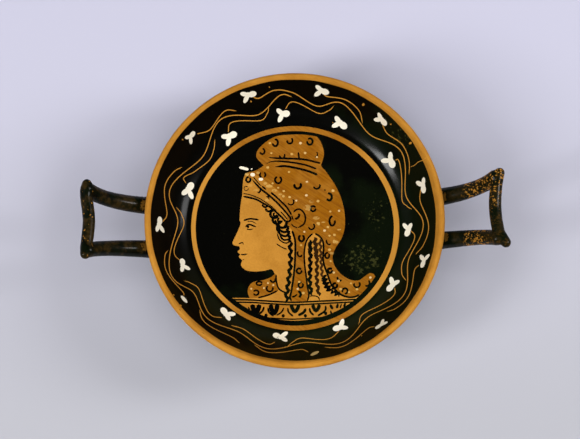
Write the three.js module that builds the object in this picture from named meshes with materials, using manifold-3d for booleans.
// A Greek kylix: a shallow drinking cup on a low stem, with two upswung handles whose corners
// are drawn out into spurs.
// The bowl, foot and handles are luted together with slip and fired as one body: one solid.
// Millimetres, +Z up, handles along X, origin in the middle of the foot's resting ring.

import * as THREE from "three";
import { mergeVertices } from "three/addons/utils/BufferGeometryUtils.js";
import Module from "manifold-3d";

// Driving dimensions
const rimRadius = 75;
const cupHeight = 58;
const bowlDepth = 24.5;
const handleReach = 106; // from the axis to the tip of the longest spur

// Bowl
const lipThickness = 3.6;
const floorThickness = 5;
const floorRadius = 53.2; // where the floor turns up into the wall
const floorRise = 3.5;
const wallLean = THREE.MathUtils.degToRad(56); // of the wall at the lip, from the horizontal
const lipCentre = new THREE.Vector2(rimRadius - lipThickness / 2, cupHeight - lipThickness / 2);
const floorHeight = cupHeight - bowlDepth;

// Foot and stem
const footRadius = 0.44 * rimRadius;
const footEdge = 5.8;
const restingWidth = 4.2;
const stemRadius = 9.5;
const stemWaist = 20; // height of the narrowest place
const hollowHeight = 11; // of the cone under the foot
const underBowlRadius = 17; // where the stem's flare ends under the bowl

// Handles
const armSpacing = 22; // between the two roots of a handle
const cornerSpacing = 30.4; // between the two ends of its arms
const cornerHeight = cupHeight + 13;
const rootHeight = cupHeight - 15;
const rootReach = 64; // of an arm's end, inside the bowl's wall
const rootInset = 3; // from that end to the wall's outer surface
const rootRadius = 4.3;
const armRadius = 3.4;
const barRadius = 3.05;
const spurRadius = 2.6;
const flareHeight = 1.7; // of the slip smoothed round a root
const flareLength = 2.4;

// Fineness of the facets
const turns = 60;
const barSides = 10;
const armSteps = 12;
const crossbarSteps = 14;

const wasm = await Module();
wasm.setup();

// A closed geometry as a manifold-3d solid.
function solidOf(geometry) {
  const bare = new THREE.BufferGeometry();
  bare.setAttribute("position", geometry.getAttribute("position"));
  bare.setIndex(geometry.getIndex());
  const merged = mergeVertices(bare, 1e-4);
  const corners = merged.getIndex().array;
  const kept = [];
  for (let i = 0; i < corners.length; i += 3) {
    const [a, b, c] = corners.subarray(i, i + 3);
    if (a !== b && b !== c && c !== a) kept.push(a, b, c);
  }
  return new wasm.Manifold(
    new wasm.Mesh({
      numProp: 3,
      vertProperties: merged.getAttribute("position").array,
      triVerts: new Uint32Array(kept),
    }),
  );
}

function geometryOf(solid) {
  const mesh = solid.getMesh();
  const geometry = new THREE.BufferGeometry();
  geometry.setAttribute("position", new THREE.BufferAttribute(mesh.vertProperties, 3));
  geometry.setIndex(new THREE.BufferAttribute(mesh.triVerts, 1));
  geometry.computeVertexNormals();
  return geometry;
}

// A profile of (radius, height) points, listed anticlockwise, turned about the Z axis.
function thrown(points) {
  return solidOf(new THREE.LatheGeometry(points, turns).rotateX(Math.PI / 2));
}

// The inner surface from the middle of the floor to the inner edge of the lip.
function innerProfile() {
  const along = new THREE.Vector2(Math.cos(wallLean), Math.sin(wallLean));
  const across = new THREE.Vector2(-along.y, along.x);
  const edge = lipCentre.clone().addScaledVector(across, lipThickness / 2);
  const beforeEdge = edge.clone().addScaledVector(along, -10);
  const floorEdge = floorHeight + floorRise;
  const bend = 7.4;
  const floor = new THREE.Path()
    .moveTo(0, floorHeight)
    .quadraticCurveTo(floorRadius / 2, floorHeight, floorRadius, floorEdge);
  const wall = new THREE.Path()
    .moveTo(floorRadius, floorEdge)
    .bezierCurveTo(
      floorRadius + bend,
      floorEdge + (bend * 2 * floorRise) / floorRadius,
      beforeEdge.x,
      beforeEdge.y,
      edge.x,
      edge.y,
    );
  return [...floor.getPoints(4), ...wall.getPoints(9).slice(1)];
}

// The outer surface lies one wall thickness outside the inner one, and thickens from the lip to
// the floor. It starts where the stem ends.
function outerProfile(inner) {
  return inner
    .map((point, i) => {
      const before = inner[Math.max(i - 1, 0)];
      const after = inner[Math.min(i + 1, inner.length - 1)];
      const along = after.clone().sub(before).normalize();
      const share = point.x / rimRadius;
      const thickness = THREE.MathUtils.lerp(floorThickness, lipThickness, share ** 2);
      return new THREE.Vector2(point.x + along.y * thickness, point.y - along.x * thickness);
    })
    .filter((point) => point.x > underBowlRadius);
}

// From the middle of the cone under the foot, round its edge and up the stem to the bowl.
function footProfile(bowlEdge) {
  const edgeBulge = 1.8;
  const edgeCentre = footRadius - edgeBulge;
  const restingEdge = edgeCentre - restingWidth;
  const step = new THREE.Vector2(edgeCentre - 1.5, footEdge + 0.9);
  const under = new THREE.Path()
    .moveTo(0, hollowHeight)
    .quadraticCurveTo(7, hollowHeight, 12, 0.65 * hollowHeight)
    .quadraticCurveTo(17, 0.3 * hollowHeight, restingEdge - 0.6, 1.8)
    .lineTo(restingEdge, 0);
  const edge = new THREE.Path()
    .absellipse(edgeCentre, footEdge / 2, edgeBulge, footEdge / 2, -Math.PI / 2, Math.PI / 2);
  const stem = new THREE.Path()
    .moveTo(edgeCentre - 1.2, footEdge)
    .lineTo(step.x, step.y)
    .bezierCurveTo(20, step.y + 1.3, stemRadius + 1.4, step.y + 3.6, stemRadius, stemWaist)
    .bezierCurveTo(stemRadius, 26, 12, bowlEdge.y - 0.4, bowlEdge.x, bowlEdge.y);
  return [...under.getPoints(3), ...edge.getPoints(3), ...stem.getPoints(5)];
}

function lipProfile() {
  const outside = wallLean - Math.PI / 2;
  return new THREE.Path()
    .absarc(lipCentre.x, lipCentre.y, lipThickness / 2, outside, outside + Math.PI)
    .getPoints(4);
}

// A capsule bent along a curve, with its radius worked out for each share of the curve's length.
function bentBar(curve, steps, radiusAt) {
  const length = curve.getLength();
  const capsule = new THREE.CapsuleGeometry(1, length, 3, barSides, steps);
  const frames = curve.computeFrenetFrames(steps);
  const position = capsule.getAttribute("position");
  const vertex = new THREE.Vector3();
  for (let i = 0; i < position.count; i += 1) {
    vertex.fromBufferAttribute(position, i);
    const share = THREE.MathUtils.clamp(vertex.y / length + 0.5, 0, 1);
    const past = vertex.y - (share - 0.5) * length; // into a rounded end
    const radius = radiusAt(share);
    const frame = Math.round(share * steps);
    const place = curve.getPointAt(share);
    place.addScaledVector(frames.normals[frame], vertex.x * radius);
    place.addScaledVector(frames.binormals[frame], -vertex.z * radius);
    place.addScaledVector(frames.tangents[frame], past * radius);
    position.setXYZ(i, place.x, place.y, place.z);
  }
  return solidOf(capsule);
}

// One arm from inside the bowl's wall to a corner; side is 1 or -1 across the handle.
function arm(side, cornerReach) {
  const spread = (side * armSpacing) / 2;
  const curve = new THREE.CubicBezierCurve3(
    new THREE.Vector3(rootReach, spread, rootHeight),
    new THREE.Vector3(rootReach + 13, spread, rootHeight + 3),
    new THREE.Vector3(cornerReach - 7, spread + 0.3 * side, cornerHeight - 13),
    new THREE.Vector3(cornerReach, (side * cornerSpacing) / 2, cornerHeight),
  );
  const length = curve.getLength();
  return bentBar(curve, armSteps, (share) => {
    const out = Math.max(share * length - rootInset, 0);
    const taper = THREE.MathUtils.lerp(rootRadius, armRadius, Math.min(share * 1.4, 1));
    return taper + flareHeight * Math.exp(-out / flareLength);
  });
}

// The bar between the corners, which bows towards the bowl and runs past the arms as a spur at
// each end. Seen from above, one tip is on the handle's anticlockwise side about Z.
function crossbar({ middle, anticlockwiseTip, clockwiseTip }) {
  const bend = cornerSpacing / 2 - 3;
  const tipCentre = (tip, side) =>
    new THREE.Vector3(tip.reach, side * tip.spread, cornerHeight + tip.rise);
  const curve = new THREE.CatmullRomCurve3([
    tipCentre(anticlockwiseTip, 1),
    new THREE.Vector3(middle + 1.2, bend, cornerHeight + 0.4),
    new THREE.Vector3(middle, 0, cornerHeight - 0.4),
    new THREE.Vector3(middle + 1.2, -bend, cornerHeight + 0.4),
    tipCentre(clockwiseTip, -1),
  ]);
  return bentBar(curve, crossbarSteps, (share) => {
    const fromMiddle = Math.abs(2 * share - 1);
    return THREE.MathUtils.lerp(barRadius, spurRadius, fromMiddle ** 4);
  });
}

function handle(shape) {
  const cornerReach = shape.middle + 1;
  return arm(1, cornerReach).add(arm(-1, cornerReach)).add(crossbar(shape));
}

function kylix() {
  const inner = innerProfile();
  const outer = outerProfile(inner);
  const top = cupHeight + 2;
  const openTop = [new THREE.Vector2(inner.at(-1).x, top), new THREE.Vector2(0, top)];
  const cavity = thrown([...inner, ...openTop]);
  const lip = lipProfile().slice(1, -1);
  const body = thrown([...footProfile(outer[0]), ...outer.slice(1), ...lip, ...inner.toReversed()]);
  const leftHandle = handle({
    middle: handleReach - 5,
    anticlockwiseTip: { reach: handleReach - spurRadius, spread: 17.4, rise: 1.2 },
    clockwiseTip: { reach: handleReach - spurRadius - 1.2, spread: 17.6, rise: 1.6 },
  }).rotate([0, 0, 180]);
  const rightHandle = handle({
    middle: handleReach - 7,
    anticlockwiseTip: { reach: handleReach - spurRadius - 1.6, spread: 17.2, rise: 1.4 },
    clockwiseTip: { reach: handleReach - spurRadius, spread: 17.8, rise: 1 },
  });
  const handles = leftHandle.add(rightHandle).subtract(cavity);
  return body.add(handles);
}

const blackGloss = new THREE.MeshStandardMaterial({
  color: 0x14170f,
  roughness: 0.3,
  metalness: 0,
});

const cup = new THREE.Group();
const fired = new THREE.Mesh(geometryOf(kylix()), blackGloss);
fired.name = "kylix";
cup.add(fired);

export default cup;
